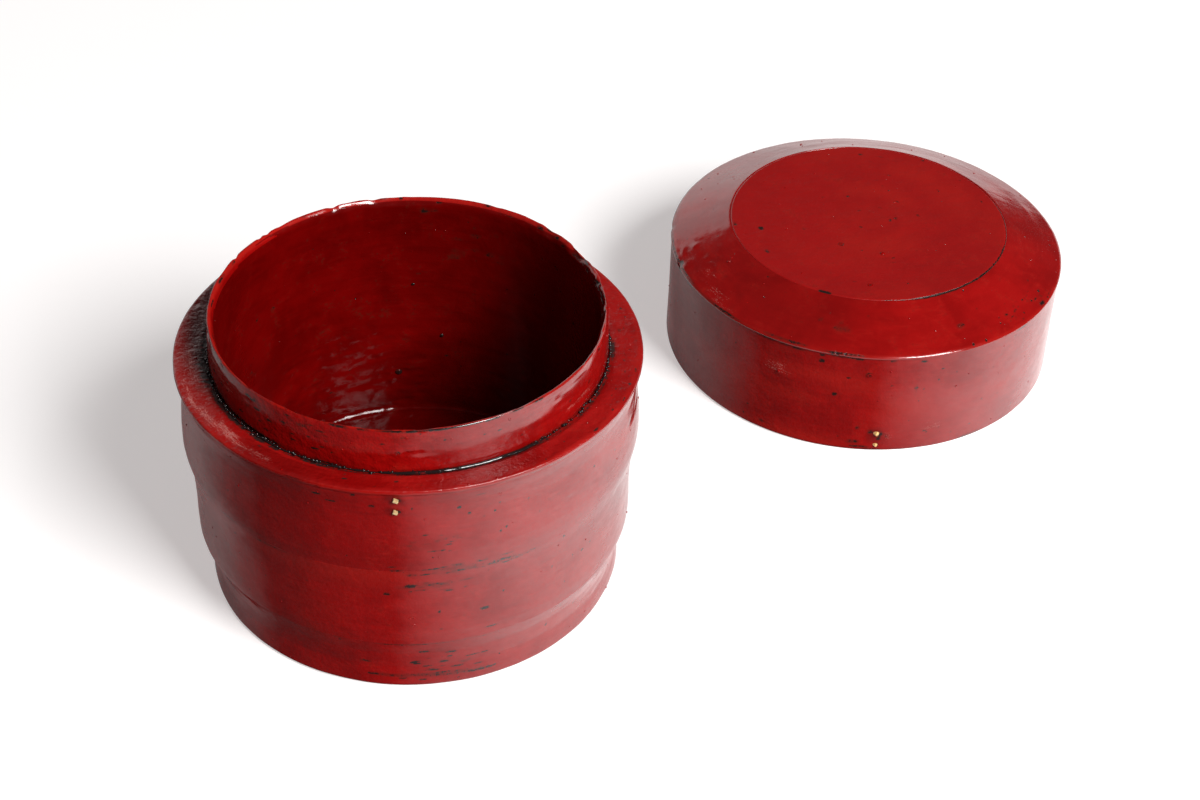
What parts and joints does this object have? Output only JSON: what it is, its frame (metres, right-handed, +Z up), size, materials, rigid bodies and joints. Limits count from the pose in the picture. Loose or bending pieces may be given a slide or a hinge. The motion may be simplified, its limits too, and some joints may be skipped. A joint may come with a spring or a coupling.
{
  "type": "seal paste box",
  "caption": "Round lacquered wooden box with a waisted wall, a raised collar and a separate flat-topped lid with a sloping shoulder, shown open.",
  "frame": {"origin": "centre of the underside of the box, on the surface that box and lid stand on", "axes": "+Z up along the box's axis; -Y from the axis towards the box's two pegs; the open lid lies between +X and +Y"},
  "size_m": [0.2487, 0.2182, 0.081],
  "materials": {
    "red_lacquer": "glossy hand-brushed red lacquer over wood, with pits, specks and worn edges",
    "black_lacquer": "shiny lumpy black lacquer",
    "peg": "cut and polished ends, slightly dull"
  },
  "bodies": {
    "box": {"base_board": "red_lacquer", "lower_hoop": "red_lacquer", "middle_hoop": "red_lacquer", "upper_hoop": "red_lacquer", "sleeve": "red_lacquer", "seam_bead": "black_lacquer", "box_peg_upper": "peg", "box_peg_lower": "peg"},
    "carrier": {"lid_peg_upper": "peg"},
    "lid": {"lid_skirt": "red_lacquer", "lid_shoulder": "red_lacquer", "lid_disc": "red_lacquer", "lid_peg_lower": "peg"}
  },
  "joints": [
    {"name": "lid_swing", "type": "hinge", "parent": "box", "child": "carrier", "pos_m": [0.079, 0.00247, 0.0818], "axis": [0.6088, -0.7934, 0], "range_deg": [0, 232.46]},
    {"name": "lid_level", "type": "hinge", "parent": "carrier", "child": "lid", "pos_m": [0.1309, 0.0423, 0.0065], "axis": [0.6088, -0.7934, 0], "range_deg": [-232.46, 0]}
  ],
  "couplings": [
    {"joint": "lid_level", "follows": "lid_swing", "ratio": -1}
  ]
}
